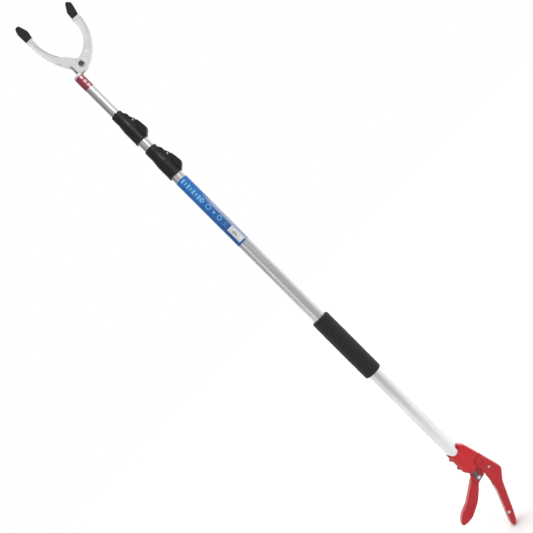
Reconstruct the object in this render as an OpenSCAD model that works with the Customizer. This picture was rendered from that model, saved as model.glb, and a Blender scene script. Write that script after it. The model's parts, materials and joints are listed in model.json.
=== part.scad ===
// Telescopic long-reach gripper: a pistol grip squeezes a pull rod that
// closes one jaw at the far end of a three-section pole.
//
// Frame: the pole lies on Z with the head up, the jaws and the trigger move
// in the XZ plane, and the origin is the centre of the foam hand grip.

/* [Pole] */
// Outer diameter of the lowest tube
outer_d = 29; // [28.8:0.1:29.2]
// Outer diameter of the middle tube
middle_d = 25.5; // [25.4:0.1:25.6]
// Outer diameter of the top tube
inner_d = 22; // [21.9:0.1:22.1]
// Wall thickness of all three tubes
wall = 1.4; // [1.3:0.05:1.45]
// Height of the lowest tube's top end
outer_top = 572; // [567:1:574]
// Height of the middle tube's top end
middle_top = 676; // [672:1:678]
// Height of the top tube's end, where the head sits on it
inner_top = 818; // [818:1:818]

/* [Foam grip] */
// Outer diameter of the foam sleeve
foam_d = 43; // [40:0.5:46]
// Length of the foam sleeve
foam_len = 167; // [150:1:180]

/* [Flip clamps] */
// Length of a clamp housing along the pole
clamp_len = 82; // [80:1:84]
// Width of a clamp lever across the pole
lever_w = 20; // [18:1:21]
// Distance from the clamped tube's surface to the lever's pin
pin_offset = 6.5; // [6.4:0.1:6.8]

/* [Grip and trigger] */
// Width of the handle shells
handle_w = 28; // [27:0.5:30]
// Width of the part of the trigger that the hand pulls
trigger_w = 17; // [15:0.5:19]
// Centre distance of the pull link
link_len = 34; // [34:1:34]

/* [Head] */
// Thickness of both jaws
jaw_t = 10; // [9.6:0.1:10]
// Outer width of the forked head that holds the jaws
head_w = 18; // [17.6:0.2:18.4]
// Distance from the jaw bolt to the pull pin
jaw_arm = 20.1; // [20:0.05:20.2]

/* [Hidden] */
$fn = 64;
eps = 0.5;

// Colours
aluminium = "silver";
cast_white = "gainsboro";
red_paint = "firebrick";
black_plastic = "#2b2c2e";
dark_steel = "#4a4c4f";
bright_steel = "lightsteelblue";

// Tubes
outer_r = outer_d / 2;
middle_r = middle_d / 2;
inner_r = inner_d / 2;
outer_bottom = -364;
middle_bottom = -280;
inner_bottom = -180;
foot_flange = 12;
foot_plug = 18;
slide_gap = 0.1;
press_gap = 0.05;
running_gap = 0.05;

// Clamps: how far a tube is seated in its housing, the housing's base heights,
// and its pin height and the window's half height above the base
seat_depth = 52;
seat_gap = 0.2;
lower_clamp_z = outer_top - seat_depth;
upper_clamp_z = middle_top - seat_depth;
pin_dz = 46;
window_half = 8;
guide_gap = 0.3;
clamp_wall = 2.3;
collar_wall = 2.3;
cam_r = 3.6;
cam_throw = 0.9;
clamp_pin_r = 1.5;
ear_in = 5.2;
ear_out = 8.4;
shoe_half = 4.9;
shoe_reach = 7;

// Trigger linkage, [x, z]
trigger_pivot = [26, -377.5];
link_pin = [0.5, -401.5];
rod_pin = [0, link_pin[1] + link_len];
hub_r = 10;
pivot_r = 4;
link_pin_r = 2.5;
strap_in = 6.6;
strap_t = 2;
slot_half = 10.2;
ear_plate = [10.4, 12.0];
seam_z = -366.5;
screw_side = [31.5, -398.5];
screw_tip = [-6.5, -498];

// Return spring round the rod end
spring_z = [-333.9, -296.1];
spring_r = 6.6;
spring_wire_r = 0.9;
spring_turns = 7;
spring_steps = 20;
spring_sides = 6;

// Collar that holds the handle on the lowest tube, its top scooped to a saddle
collar_r = 16.4;
collar_top = -318.5;
scoop_r = 17.5;
scoop_at = [-0.6, -313.7];
collar_screw_z = [-336, -360];
screw_r = 2;
screw_hole_r = 2.05;
collar_head_r = 3.3;
collar_head_h = 4;
side_screw_r = 1.9;
side_head_r = 2.8;
tip_head_r = 3.2;
shell_head_h = 1.8;
boss_r = 11;

// Pull rods
lower_pull_d = 12;
middle_pull_d = 9;
upper_pull_d = 6;
pull_wall = 1.2;
pull_gap = 0.3;
lower_pull_z = [-291, 522];
middle_pull_z = [-262, 628];
upper_pull_z = [-190, 810];
shoulder_t = 4;
rod_end_r = 4;
spigot_r = 2;

// Head, [x, z]
jaw_pivot = [25.8, 834];
jaw_half_swing = 20.5;
fork_eye = [jaw_pivot[0] - jaw_arm * (1 + cos(jaw_half_swing)) / 2,
            jaw_pivot[1] + jaw_arm * sin(jaw_half_swing)];
bolt_r = 3;
fork_pin_r = 1.5;
tail_t = 4;
fork_in = 2.3;
fork_out = 3.6;
cheek_in = 5.4;
step_z = 870;
hub_d = 26;
tongue_t = 8;
cap_t = 13.5;
cap_gap = 0.2;
rivet_z = 802;
rivet_r = 1.95;
rivet_hole_r = 2;
washer_r = 7;
washer_t = 1;
bolt_head_r = 6.2;
bolt_head_h = 3.6;
nut_r = 5.77;
nut_h = 5;

// ---- Shared shapes -------------------------------------------------------

// Draws a shape of the XZ plane as a plate, centred on y
module side(w, y = 0)
    translate([0, y, 0]) rotate([90, 0, 0])
        linear_extrude(w, center = true) children();

// The same plate on both sides of the middle plane, from y0 to y1
module both_sides(y0, y1)
    for (s = [-1, 1]) side(y1 - y0, s * (y0 + y1) / 2) children();

// A round bar along Y through the point p of the XZ plane
module cross_bar(r, w, p, y = 0)
    translate([p[0], y, p[1]]) rotate([90, 0, 0]) cylinder(r = r, h = w, center = true);

// A round bar along X from x0 to x1 at height z
module x_bar(r, x0, x1, z)
    translate([x0, 0, z]) rotate([0, 90, 0]) cylinder(r = r, h = x1 - x0);

module ring(r_in, r_out, z0, z1)
    difference() {
        translate([0, 0, z0]) cylinder(r = r_out, h = z1 - z0);
        translate([0, 0, z0 - eps]) cylinder(r = r_in, h = z1 - z0 + 2 * eps);
    }

module rod(r, z0, z1) translate([0, 0, z0]) cylinder(r = r, h = z1 - z0);

// A tube with a window in its wall on the +X side
module tube_with_window(r, z0, z1, window_z)
    difference() {
        ring(r - wall, r, z0, z1);
        translate([0, -ear_in, window_z - window_half])
            cube([r + eps, 2 * ear_in, 2 * window_half]);
    }

// A bar with round ends between two points of the XZ plane
module bar_2d(p, q, rp, rq, w) {
    d = q - p;
    n = [-d[1], d[0]] / norm(d) * w / 2;
    translate(p) circle(r = rp);
    translate(q) circle(r = rq);
    polygon([p + n, q + n, q - n, p - n]);
}

// ---- Pole ----------------------------------------------------------------

module outer_tube()
    color(aluminium) difference() {
        tube_with_window(outer_r, outer_bottom, outer_top, lower_clamp_z + pin_dz);
        for (z = collar_screw_z) x_bar(screw_hole_r, -outer_r - eps, -5, z);
    }

module middle_tube()
    color(aluminium)
        tube_with_window(middle_r, middle_bottom, middle_top, upper_clamp_z + pin_dz);

module inner_tube()
    color(aluminium) difference() {
        ring(inner_r - wall, inner_r, inner_bottom, inner_top);
        for (s = [-1, 1]) cross_bar(rivet_hole_r, 6, [0, rivet_z], s * inner_r);
    }

// Sliding foot of a tube: a flange that runs in the tube outside it
module foot(tube_r, outside_r, bottom, bore_r) {
    difference() {
        union() {
            rod(outside_r - wall - slide_gap, bottom - foot_flange, bottom);
            rod(tube_r - wall - press_gap, bottom - eps, bottom + foot_plug);
        }
        rod(bore_r, bottom - foot_flange - 1, bottom + foot_plug + 1);
    }
}

module middle_foot() color(black_plastic) foot(middle_r, outer_r, middle_bottom, 9.6);
module inner_foot() color(black_plastic) foot(inner_r, middle_r, inner_bottom, 8.5);

module foam_grip()
    color("#161616") rotate_extrude() {
        t = foam_d / 2 - outer_r;
        round_r = 5;
        difference() {
            union() {
                translate([outer_r + press_gap, -foam_len / 2 + round_r])
                    square([t - press_gap, foam_len - 2 * round_r]);
                translate([outer_r + press_gap, -foam_len / 2])
                    square([t - round_r, foam_len]);
                for (s = [-1, 1])
                    translate([foam_d / 2 - round_r, s * (foam_len / 2 - round_r)])
                        circle(r = round_r);
            }
            translate([0, -foam_len]) square([outer_r + press_gap, 2 * foam_len]);
        }
    }

module wrap(r, z0, z1) ring(r + press_gap, r + press_gap + 0.2, z0, z1);

module pole_label() color("#1f74ba") wrap(outer_r, 315, 505.5);
module head_label() color("#b0444e") wrap(inner_r, 785, inner_top - 0.2);

// ---- Flip clamps ---------------------------------------------------------

// Housing on the end of the lower tube. The collar on top of it guides the
// upper tube, and two ears carry the lever's pin.
module clamp_body(z, low_r, high_r) {
    body_r = low_r + clamp_wall + 0.5;
    collar = high_r + collar_wall;
    px = high_r + pin_offset;
    difference() {
        union() {
            translate([0, 0, z]) rotate_extrude() polygon([
                [0, 0], [body_r - 0.6, 0], [body_r, 1.5], [body_r, 40], [collar + 0.6, 54],
                [collar, 58], [collar, clamp_len - 1.5], [collar - 1.2, clamp_len], [0, clamp_len]
            ]);
            translate([px, 0, z + pin_dz]) both_sides(ear_in, ear_out) polygon([
                [-10, -16], [0.5, -16], [4.7, -8], [4.9, 1], [0, 12], [0.9, 16],
                [-0.5, 20.5], [-5, 27], [-10, 27]
            ]);
        }
        rod(low_r + press_gap, z - eps, z + seat_depth + seat_gap);
        rod(high_r + guide_gap, z + seat_depth, z + clamp_len + eps);
        translate([high_r - 2, -ear_in, z + pin_dz - window_half])
            cube([32, 2 * ear_in, 2 * window_half]);
        cross_bar(clamp_pin_r, 30, [px, z + pin_dz]);
    }
}

// Pressure shoe in the housing's window, shaped to the clamped tube
module clamp_shoe(z, high_r)
    difference() {
        translate([0, -shoe_half, z + pin_dz - shoe_reach])
            cube([high_r + pin_offset - cam_r - cam_throw - guide_gap, 2 * shoe_half, 2 * shoe_reach]);
        rod(high_r + guide_gap, z, z + clamp_len);
    }

module clamp_pin(z, high_r) cross_bar(clamp_pin_r, 2 * ear_out + 1.2, [high_r + pin_offset, z + pin_dz]);

// Lever with its eccentric cam, down against the housing
module clamp_lever(z, low_r, high_r)
    difference() {
        translate([high_r + pin_offset, 0, z + pin_dz]) {
            side(2 * ear_in - 0.6) {
                translate([-cam_throw, 0]) circle(r = cam_r);
                circle(r = 4.2);
                polygon([[4.2, 0], [7.5, -5], [9, -14], [10, -24], [-1, -24], [-1.5, -3.9]]);
            }
            side(lever_w) polygon([
                [9.1, -16.8], [10.5, -31], [7.5, -36], [2.5, -40.5], [-1.5, -44], [-6, -42], [-6, -16.8]
            ]);
        }
        rod(low_r + clamp_wall + 1.0, z - 10, z + pin_dz - 10);
        cross_bar(clamp_pin_r + running_gap, 30, [high_r + pin_offset, z + pin_dz]);
    }

module lower_clamp_body() color(black_plastic) clamp_body(lower_clamp_z, outer_r, middle_r);
module lower_clamp_shoe() color("dimgray") clamp_shoe(lower_clamp_z, middle_r);
module lower_clamp_pin() color(bright_steel) clamp_pin(lower_clamp_z, middle_r);
module lower_clamp_lever() color(black_plastic) clamp_lever(lower_clamp_z, outer_r, middle_r);
module upper_clamp_body() color(black_plastic) clamp_body(upper_clamp_z, middle_r, inner_r);
module upper_clamp_shoe() color("dimgray") clamp_shoe(upper_clamp_z, inner_r);
module upper_clamp_pin() color(bright_steel) clamp_pin(upper_clamp_z, inner_r);
module upper_clamp_lever() color(black_plastic) clamp_lever(upper_clamp_z, middle_r, inner_r);

// ---- Grip ----------------------------------------------------------------

// Ear of the collar that lies in a handle shell and carries the trigger's pin
module ear_2d(grow = 0) {
    translate(trigger_pivot) circle(r = 9.3 + grow);
    translate(screw_side) circle(r = 5 + grow);
    polygon([[17 - grow, -377.5], [35 + grow, -377.5], [36.4 + grow, -397], [26.8 - grow, -400.5]]);
    polygon([[16.7 - grow, -377.5], [16.7 - grow, -363], [35.3 + grow, -363], [35.3 + grow, -377.5]]);
}

module front_collar()
    color("crimson") difference() {
        union() {
            intersection() {
                rod(collar_r, seam_z - 15, collar_top);
                side(2 * collar_r) polygon([
                    [-collar_r, collar_top], [collar_r, collar_top], [collar_r, -381.5],
                    [-6, -381.5], [-collar_r, -371]
                ]);
            }
            side(handle_w - 2) difference() {
                polygon([
                    [0, collar_top], [collar_r, collar_top], [27, -331], [36.9, seam_z + 0.3],
                    [26, seam_z + 0.3], [26, -377.5], [14.7, -377.5], [14.7, -381.5], [0, -381.5]
                ]);
                translate(trigger_pivot) circle(r = boss_r + 0.3);
            }
            both_sides(ear_plate[0], ear_plate[1]) ear_2d();
        }
        rod(outer_r + press_gap, outer_bottom, collar_top + eps);
        rod(outer_r - 1.5, -390, outer_bottom + eps);
        translate([0, -slot_half, -390]) cube([36, 2 * slot_half, 25]);
        cross_bar(pivot_r + 0.02, 40, trigger_pivot);
        for (s = [-1, 1]) cross_bar(1.95, 8, screw_side, s * 11);
        for (z = collar_screw_z) x_bar(screw_hole_r, -collar_r - eps, -5, z);
        cross_bar(scoop_r, 4 * collar_r, scoop_at);
    }

module collar_screws()
    color(dark_steel) for (z = collar_screw_z) {
        x_bar(screw_r, -collar_r - 1, -outer_r + wall - slide_gap, z);
        x_bar(collar_head_r, -collar_r - collar_head_h, -collar_r, z);
    }

// Outline of the handle behind the seam
module handle_2d() {
    translate(trigger_pivot) circle(r = boss_r);
    polygon([
        [26, seam_z], [37, seam_z], [50.2, -416], [49.4, -421], [44.7, -427], [32.3, -442],
        [22.3, -463], [3.9, -503], [-5.6, -521], [-12, -527.3], [-19, -526.8], [-20.3, -521.5],
        [-10.6, -497.5], [6.3, -455], [13.4, -432], [15.5, -408], [15, -377.5]
    ]);
}

// One handle shell: s is -1 for the left one and 1 for the right one
module grip_shell(s)
    difference() {
        union() {
            side(handle_w / 2, s * handle_w / 4) handle_2d();
            cross_bar(boss_r, 1, trigger_pivot, s * (handle_w / 2 + 0.5));
        }
        side(2 * slot_half) polygon([
            [0, -360], [37.5, -360], [37.5, -395], [36, -414], [24, -434], [0, -450]
        ]);
        side(2 * ear_plate[1] + 0.4) ear_2d(0.3);
        cross_bar(pivot_r + 0.02, 26, trigger_pivot);
        for (t = [-1, 1]) cross_bar(screw_r, 8, screw_side, t * 13);
        cross_bar(screw_hole_r, handle_w - 6, screw_tip, -3.5);
    }

module grip_shell_left() color(red_paint) grip_shell(-1);
module grip_shell_right() color(red_paint) grip_shell(1);

module shell_screws()
    color(bright_steel) {
        for (s = [-1, 1]) {
            cross_bar(side_screw_r, 4, screw_side, s * (handle_w / 2 - 1.6));
            cross_bar(side_head_r, shell_head_h, screw_side, s * (handle_w + shell_head_h) / 2);
        }
        cross_bar(screw_r, handle_w - 7, screw_tip, -3.5);
        cross_bar(tip_head_r, shell_head_h, screw_tip, -(handle_w + shell_head_h) / 2);
    }

module trigger_pin() color(bright_steel) cross_bar(pivot_r, 25.6, trigger_pivot);

module trigger()
    color(red_paint) difference() {
        union() {
            side(2 * strap_in - 1.2) {
                translate(trigger_pivot) circle(r = hub_r);
                polygon([
                    [26, -367.5], [12, -371], [-5, -380], [-11.7, -392], [-20, -398.8],
                    [-26, -427.5], [-7, -411.5], [12, -407], [31, -386]
                ]);
            }
            side(trigger_w) polygon([
                [-14, -394.8], [-20, -398.8], [-58.5, -425], [-80, -433.8], [-91, -441], [-98, -450],
                [-96, -453.5], [-86, -455.5], [-69.5, -454], [-39.6, -439], [-24, -426], [-14, -417.5]
            ]);
        }
        cross_bar(pivot_r + running_gap, 30, trigger_pivot);
        cross_bar(link_pin_r + 0.9, 30, link_pin);
    }

// ---- Pull rod in the lowest tube -----------------------------------------

// Eye, shaft and shoulder at the rod's lower end. The spring pushes on the shoulder.
module rod_end()
    color(dark_steel) difference() {
        union() {
            cross_bar(5.5, 2 * strap_in - 0.8, rod_pin);
            rod(rod_end_r, rod_pin[1], lower_pull_z[0] + 11);
            rod(9, lower_pull_z[0] - shoulder_t, lower_pull_z[0]);
            rod(lower_pull_d / 2 - pull_wall - press_gap, lower_pull_z[0], lower_pull_z[0] + 21);
        }
        cross_bar(link_pin_r + running_gap, 30, rod_pin);
    }

module lower_pull_tube()
    color(aluminium)
        ring(lower_pull_d / 2 - pull_wall, lower_pull_d / 2, lower_pull_z[0], lower_pull_z[1]);

module lower_clutch()
    color(black_plastic) pull_clutch(lower_pull_d / 2, middle_pull_d / 2, lower_pull_z[1], 8);

// Sleeve on a pull tube's top end that grips the next pull tube
module pull_clutch(tube_r, next_r, tube_top, sleeve_r)
    difference() {
        rod(sleeve_r, tube_top - 12, tube_top + 10);
        rod(tube_r + press_gap, tube_top - 13, tube_top);
        rod(next_r + pull_gap, tube_top - 1, tube_top + 11);
    }

module rod_bush()
    color(black_plastic) difference() {
        rod(outer_r - wall - press_gap, -347, -335);
        rod(rod_end_r + slide_gap, -348, -334);
    }

// Compression spring between the bush and the rod's shoulder, a wire of
// spring_sides sides swept along a helix of spring_steps steps a turn
module return_spring()
    color(bright_steel) {
        n = spring_turns * spring_steps;
        points = [for (i = [0 : n], k = [0 : spring_sides - 1]) let (
            turn = 360 * i / spring_steps,
            side_angle = 360 * k / spring_sides,
            r = spring_r + spring_wire_r * cos(side_angle),
            z = spring_z[0] + (spring_z[1] - spring_z[0]) * i / n + spring_wire_r * sin(side_angle)
        ) [r * cos(turn), r * sin(turn), z]];
        walls = [for (i = [0 : n - 1], k = [0 : spring_sides - 1]) let (
            a = i * spring_sides + k,
            b = i * spring_sides + (k + 1) % spring_sides
        ) [a, b, b + spring_sides, a + spring_sides]];
        start = [for (k = [spring_sides - 1 : -1 : 0]) k];
        end = [for (k = [0 : spring_sides - 1]) n * spring_sides + k];
        polyhedron(points, concat(walls, [start, end]), convexity = 10);
    }

module pull_link()
    color(dark_steel) difference() {
        both_sides(strap_in, strap_in + strap_t) bar_2d(rod_pin, link_pin, 5, 6.8, 8);
        cross_bar(link_pin_r, 30, rod_pin);
        cross_bar(link_pin_r, 30, link_pin);
    }

module link_pins()
    color(bright_steel) {
        cross_bar(link_pin_r, 2 * (strap_in + strap_t) + 0.4, rod_pin);
        cross_bar(link_pin_r, 2 * (strap_in + strap_t) + 0.4, link_pin);
        both_sides(strap_in + strap_t, strap_in + strap_t + 0.9)
            translate(link_pin) circle(r = 3.6);
    }

// ---- Pull rods in the middle and top tubes -------------------------------

module middle_pull_tube()
    color(aluminium)
        ring(middle_pull_d / 2 - pull_wall, middle_pull_d / 2, middle_pull_z[0], middle_pull_z[1]);

module middle_clutch()
    color(black_plastic) pull_clutch(middle_pull_d / 2, upper_pull_d / 2, middle_pull_z[1], 7);

module upper_pull_rod()
    color(dark_steel) {
        rod(upper_pull_d / 2, upper_pull_z[0], upper_pull_z[1]);
        rod(spigot_r, upper_pull_z[1] - 1, upper_pull_z[1] + 6);
    }

// Fork that joins the pull rod to the moving jaw's tail
module jaw_fork()
    color(dark_steel) difference() {
        union() {
            side(2 * fork_out) polygon([[-3.2, 810], [-3.2, 814], [3.2, 818], [fork_eye[0] + 2.4, 818],
                                        [fork_eye[0] + 2.4, 810]]);
            both_sides(fork_in, fork_out) bar_2d([fork_eye[0], 815], fork_eye, 2.4, 2.6, 4.8);
        }
        rod(spigot_r + press_gap, upper_pull_z[1] - 2, upper_pull_z[1] + 6.2);
        cross_bar(fork_pin_r, 20, fork_eye);
    }

module fork_pin() color(bright_steel) cross_bar(fork_pin_r, 2 * fork_out, fork_eye);

// ---- Head ----------------------------------------------------------------

module tongue_2d(centre, angle, w, len) translate(centre) rotate(angle) square([w, len], center = true);
module fixed_tongue(grow = 0) tongue_2d([-20.2, 957], 0, 10.6 + grow, 36 + grow);
module moving_tongue(grow = 0) tongue_2d([88.8, 920], -8, 11 + grow, 34 + grow);

// Both blades are bounded by two round arcs
module fixed_blade_2d()
    intersection() {
        difference() {
            translate([173.7, 945.7]) circle(r = 202, $fn = 200);
            translate([84.5, 934.2]) circle(r = 98.2, $fn = 200);
        }
        polygon([[-40, 951], [-5, 951], [14, step_z], [9, 860], [-12, 860], [-40, 880]]);
    }

module moving_blade_2d()
    intersection() {
        difference() {
            translate([-6.9, 918.8]) circle(r = 104.5, $fn = 200);
            translate([19.6, 906.2]) circle(r = 58, $fn = 200);
        }
        polygon([[26, 812], [70, 812], [120, 860], [120, 914.5], [70, 918.5], [60, 880], [26, 849]]);
    }

module cheek_2d(left) {
    translate(jaw_pivot) circle(d = hub_d);
    polygon([
        [left, 820], [26, 821], [36.5, 841.4], [24, 853], [9.3, step_z + 1], [-11.8, step_z], [-7.5, 857],
        [-0.6, 847], [left, 846]
    ]);
}

// Head casting: spigot in the top tube, forked body and the fixed blade
module fixed_jaw()
    color(cast_white) difference() {
        union() {
            rod(inner_r - wall - press_gap, 786, inner_top);
            rod(inner_r, inner_top, 823);
            side((head_w - 2 * cheek_in) / 2, -(head_w / 2 + cheek_in) / 2) cheek_2d(5.6);
            side((head_w - 2 * cheek_in) / 2, (head_w / 2 + cheek_in) / 2) cheek_2d(1);
            side(2 * cheek_in + eps) polygon([
                [-7.5, 857], [0, 848.5], [8, 855], [9.3, step_z + 1], [-11.8, step_z]
            ]);
            side(jaw_t) fixed_blade_2d();
            side(tongue_t) fixed_tongue();
        }
        rod(3.2, 785, 792.5);
        rod(6.5, 792, 830);
        translate([-4, -4, 792]) cube([20, 8, 40]);
        side(2 * cheek_in) translate(jaw_pivot) circle(r = hub_d / 2 + 1.2);
        cross_bar(bolt_r, 40, jaw_pivot);
        for (s = [-1, 1]) cross_bar(rivet_hole_r, 6, [0, rivet_z], s * inner_r);
    }

module moving_jaw()
    color(cast_white) difference() {
        union() {
            side(jaw_t) {
                translate(jaw_pivot) circle(d = hub_d);
                moving_blade_2d();
            }
            side(tongue_t) moving_tongue();
            side(tail_t) bar_2d(jaw_pivot, jaw_pivot + (jaw_arm + 0.2) *
                [-cos(jaw_half_swing), sin(jaw_half_swing)], 8, 5, 10);
        }
        cross_bar(bolt_r + running_gap, 40, jaw_pivot);
        translate([jaw_pivot[0], 0, jaw_pivot[1]]) rotate([0, jaw_half_swing, 0])
            side(20) bar_2d([-jaw_arm - 0.9, 0], [-jaw_arm + 0.9, 0],
                            fork_pin_r + 0.35, fork_pin_r + 0.35, 2 * (fork_pin_r + 0.35));
    }

module fixed_jaw_cap()
    color("#1c1c1c") difference() {
        side(cap_t) polygon([
            [-28.6, 951.2], [-11.8, 951.2], [-7.8, 968], [-13.5, 986.5], [-16, 989], [-22, 989],
            [-24.5, 987.5], [-29, 977]
        ]);
        side(tongue_t + cap_gap) fixed_tongue(cap_gap);
    }

module moving_jaw_cap()
    color("#1c1c1c") difference() {
        side(cap_t) polygon([
            [78.8, 918.2], [95, 916.6], [99, 929], [102.6, 944], [98, 950.5], [94.5, 952.4], [91, 951],
            [80, 934]
        ]);
        side(tongue_t + cap_gap) moving_tongue(cap_gap);
    }

module jaw_bolt()
    color(dark_steel) {
        cross_bar(bolt_r, 24, jaw_pivot, 1);
        cross_bar(bolt_head_r, bolt_head_h, jaw_pivot, -head_w / 2 - washer_t - bolt_head_h / 2);
    }

module jaw_washer()
    color(bright_steel) difference() {
        cross_bar(washer_r, washer_t, jaw_pivot, -(head_w + washer_t) / 2);
        cross_bar(bolt_r + press_gap, 4 * washer_t, jaw_pivot, -(head_w + washer_t) / 2);
    }

module jaw_nut()
    color(bright_steel) difference() {
        translate([jaw_pivot[0], (head_w + nut_h) / 2, jaw_pivot[1]]) rotate([90, 0, 0])
            cylinder(r = nut_r, h = nut_h, center = true, $fn = 6);
        cross_bar(bolt_r + press_gap, 4 * nut_h, jaw_pivot, (head_w + nut_h) / 2);
    }

module head_rivets()
    color(aluminium) for (s = [-1, 1]) cross_bar(rivet_r, 2.65, [0, rivet_z], s * (inner_r - 1.575));

// ---- Build ---------------------------------------------------------------

outer_tube();
foam_grip();
pole_label();
front_collar();
collar_screws();
grip_shell_left();
grip_shell_right();
shell_screws();
trigger_pin();
rod_bush();
return_spring();
lower_clamp_body();
lower_clamp_pin();
lower_clamp_shoe();
lower_clamp_lever();
trigger();
rod_end();
lower_pull_tube();
lower_clutch();
pull_link();
link_pins();
middle_tube();
middle_foot();
upper_clamp_body();
upper_clamp_pin();
upper_clamp_shoe();
upper_clamp_lever();
middle_pull_tube();
middle_clutch();
inner_tube();
inner_foot();
head_label();
head_rivets();
fixed_jaw();
fixed_jaw_cap();
jaw_bolt();
jaw_washer();
jaw_nut();
upper_pull_rod();
jaw_fork();
fork_pin();
moving_jaw();
moving_jaw_cap();
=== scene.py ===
"""Looks of a telescopic long-reach gripper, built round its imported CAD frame.

The pole stands on Z with the head up, and the trigger and the jaws move in the
XZ plane. Shapes are worked out in millimetres in the frame's own axes, and each
finished piece is turned to metres.
"""

import json
import math

import bmesh
import bpy
from mathutils import Matrix, Vector, noise


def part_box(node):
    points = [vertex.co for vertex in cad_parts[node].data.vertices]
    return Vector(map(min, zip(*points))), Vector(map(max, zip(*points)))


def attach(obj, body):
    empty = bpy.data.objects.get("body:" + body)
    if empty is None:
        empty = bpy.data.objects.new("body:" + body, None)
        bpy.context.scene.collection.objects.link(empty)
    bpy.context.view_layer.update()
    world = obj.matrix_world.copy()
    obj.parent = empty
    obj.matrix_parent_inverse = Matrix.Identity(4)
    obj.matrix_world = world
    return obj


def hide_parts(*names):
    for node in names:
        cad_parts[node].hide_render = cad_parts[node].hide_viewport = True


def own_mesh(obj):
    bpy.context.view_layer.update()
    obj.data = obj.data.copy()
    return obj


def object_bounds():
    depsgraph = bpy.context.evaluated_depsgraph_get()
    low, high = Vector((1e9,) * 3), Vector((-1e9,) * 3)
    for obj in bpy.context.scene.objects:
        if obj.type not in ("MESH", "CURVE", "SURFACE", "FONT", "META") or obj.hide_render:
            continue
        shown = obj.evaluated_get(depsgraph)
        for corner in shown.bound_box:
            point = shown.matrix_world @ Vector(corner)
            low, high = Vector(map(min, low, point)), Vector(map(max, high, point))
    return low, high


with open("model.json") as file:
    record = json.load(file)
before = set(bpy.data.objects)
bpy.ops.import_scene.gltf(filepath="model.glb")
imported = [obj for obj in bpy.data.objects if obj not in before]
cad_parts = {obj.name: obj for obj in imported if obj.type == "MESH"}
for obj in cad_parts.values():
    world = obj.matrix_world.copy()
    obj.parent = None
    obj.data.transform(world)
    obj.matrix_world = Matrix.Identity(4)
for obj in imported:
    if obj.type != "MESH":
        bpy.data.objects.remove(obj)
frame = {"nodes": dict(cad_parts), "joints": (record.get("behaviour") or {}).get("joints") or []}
cad_low, cad_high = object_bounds()

MM = 0.001
Y_SIDES = (-1, 1)
# Keeps a trimming solid's faces off the flat faces of what it trims
CLEAR = 0.03


# ---- Places in the frame, in mm ------------------------------------------


def corners(node):
    """Lowest and highest corner of a CAD node."""
    low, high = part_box(node)
    return low / MM, high / MM


def hinge(name):
    """Where a joint's axis is, as a point."""
    joint = next(j for j in frame["joints"] if j["name"] == name)
    return Vector(joint["pos_m"]) / MM


OUTER_R = corners("outer_tube")[1].x
MIDDLE_R = corners("middle_tube")[1].x
INNER_R = corners("inner_tube")[1].x
TRIGGER_AT = hinge("trigger_hinge")
JAW_AT = hinge("jaw_hinge")


# ---- Shapes, in mm ---------------------------------------------------------


def cad_shape(*nodes):
    """The shape of CAD nodes as one closed mesh."""
    bm = bmesh.new()
    for node in nodes:
        bm.from_mesh(frame["nodes"][node].data)
    bmesh.ops.scale(bm, vec=(1 / MM,) * 3, verts=bm.verts)
    bmesh.ops.remove_doubles(bm, verts=bm.verts, dist=0.001)
    return bm


def rounded(outline, radius, steps=6):
    """An outline with each corner turned into an arc of about this radius."""
    points = [Vector(p[:2]) for p in outline]
    made = []
    for i, corner in enumerate(points):
        before = points[i - 1] - corner
        after = points[(i + 1) % len(points)] - corner
        half = before.angle(after) / 2
        reach = min(radius / math.tan(half), 0.48 * before.length, 0.48 * after.length)
        start = corner + before.normalized() * reach
        end = corner + after.normalized() * reach
        for k in range(steps + 1):
            t = k / steps
            made.append(start.lerp(corner, t).lerp(corner.lerp(end, t), t))
    return made


def arc(centre, radius, start, end, steps):
    """Points of an arc, its angles in degrees from +X towards +Z."""
    turns = [math.radians(start + (end - start) * k / steps) for k in range(steps + 1)]
    return [Vector((centre[0] + radius * math.cos(a), centre[1] + radius * math.sin(a)))
            for a in turns]


def plate(outline, y0, y1, edge=0.0, steps=4):
    """An XZ outline as a closed plate from y0 to y1, its rims rounded by edge."""
    bm = bmesh.new()
    rims = [[bm.verts.new((p[0], y, p[1])) for p in outline] for y in (y0, y1)]
    for rim in rims:
        bm.faces.new(rim)
    n = len(outline)
    for i in range(n):
        k = (i + 1) % n
        bm.faces.new((rims[0][i], rims[0][k], rims[1][k], rims[1][i]))
    bmesh.ops.recalc_face_normals(bm, faces=bm.faces)
    if edge:
        rim_edges = [e for e in bm.edges if abs(e.verts[0].co.y - e.verts[1].co.y) < 1e-6]
        bmesh.ops.bevel(bm, geom=rim_edges, offset=edge, segments=steps, profile=0.5,
                        affect="EDGES", clamp_overlap=True)
    return bm


def inset(outline, depth):
    """An outline with every side moved inwards by this depth."""
    points = [Vector(p[:2]) for p in outline]
    n = len(points)
    sides = [(points[(i + 1) % n] - points[i]).normalized() for i in range(n)]
    area = sum(a.x * b.y - b.x * a.y for a, b in zip(points, points[1:] + points[:1]))
    turn = math.copysign(1, area)
    inward = [Vector((-side.y, side.x)) * turn for side in sides]
    return [p + (inward[i - 1] + inward[i]) * depth / (1 + inward[i - 1].dot(inward[i]))
            for i, p in enumerate(points)]


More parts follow.
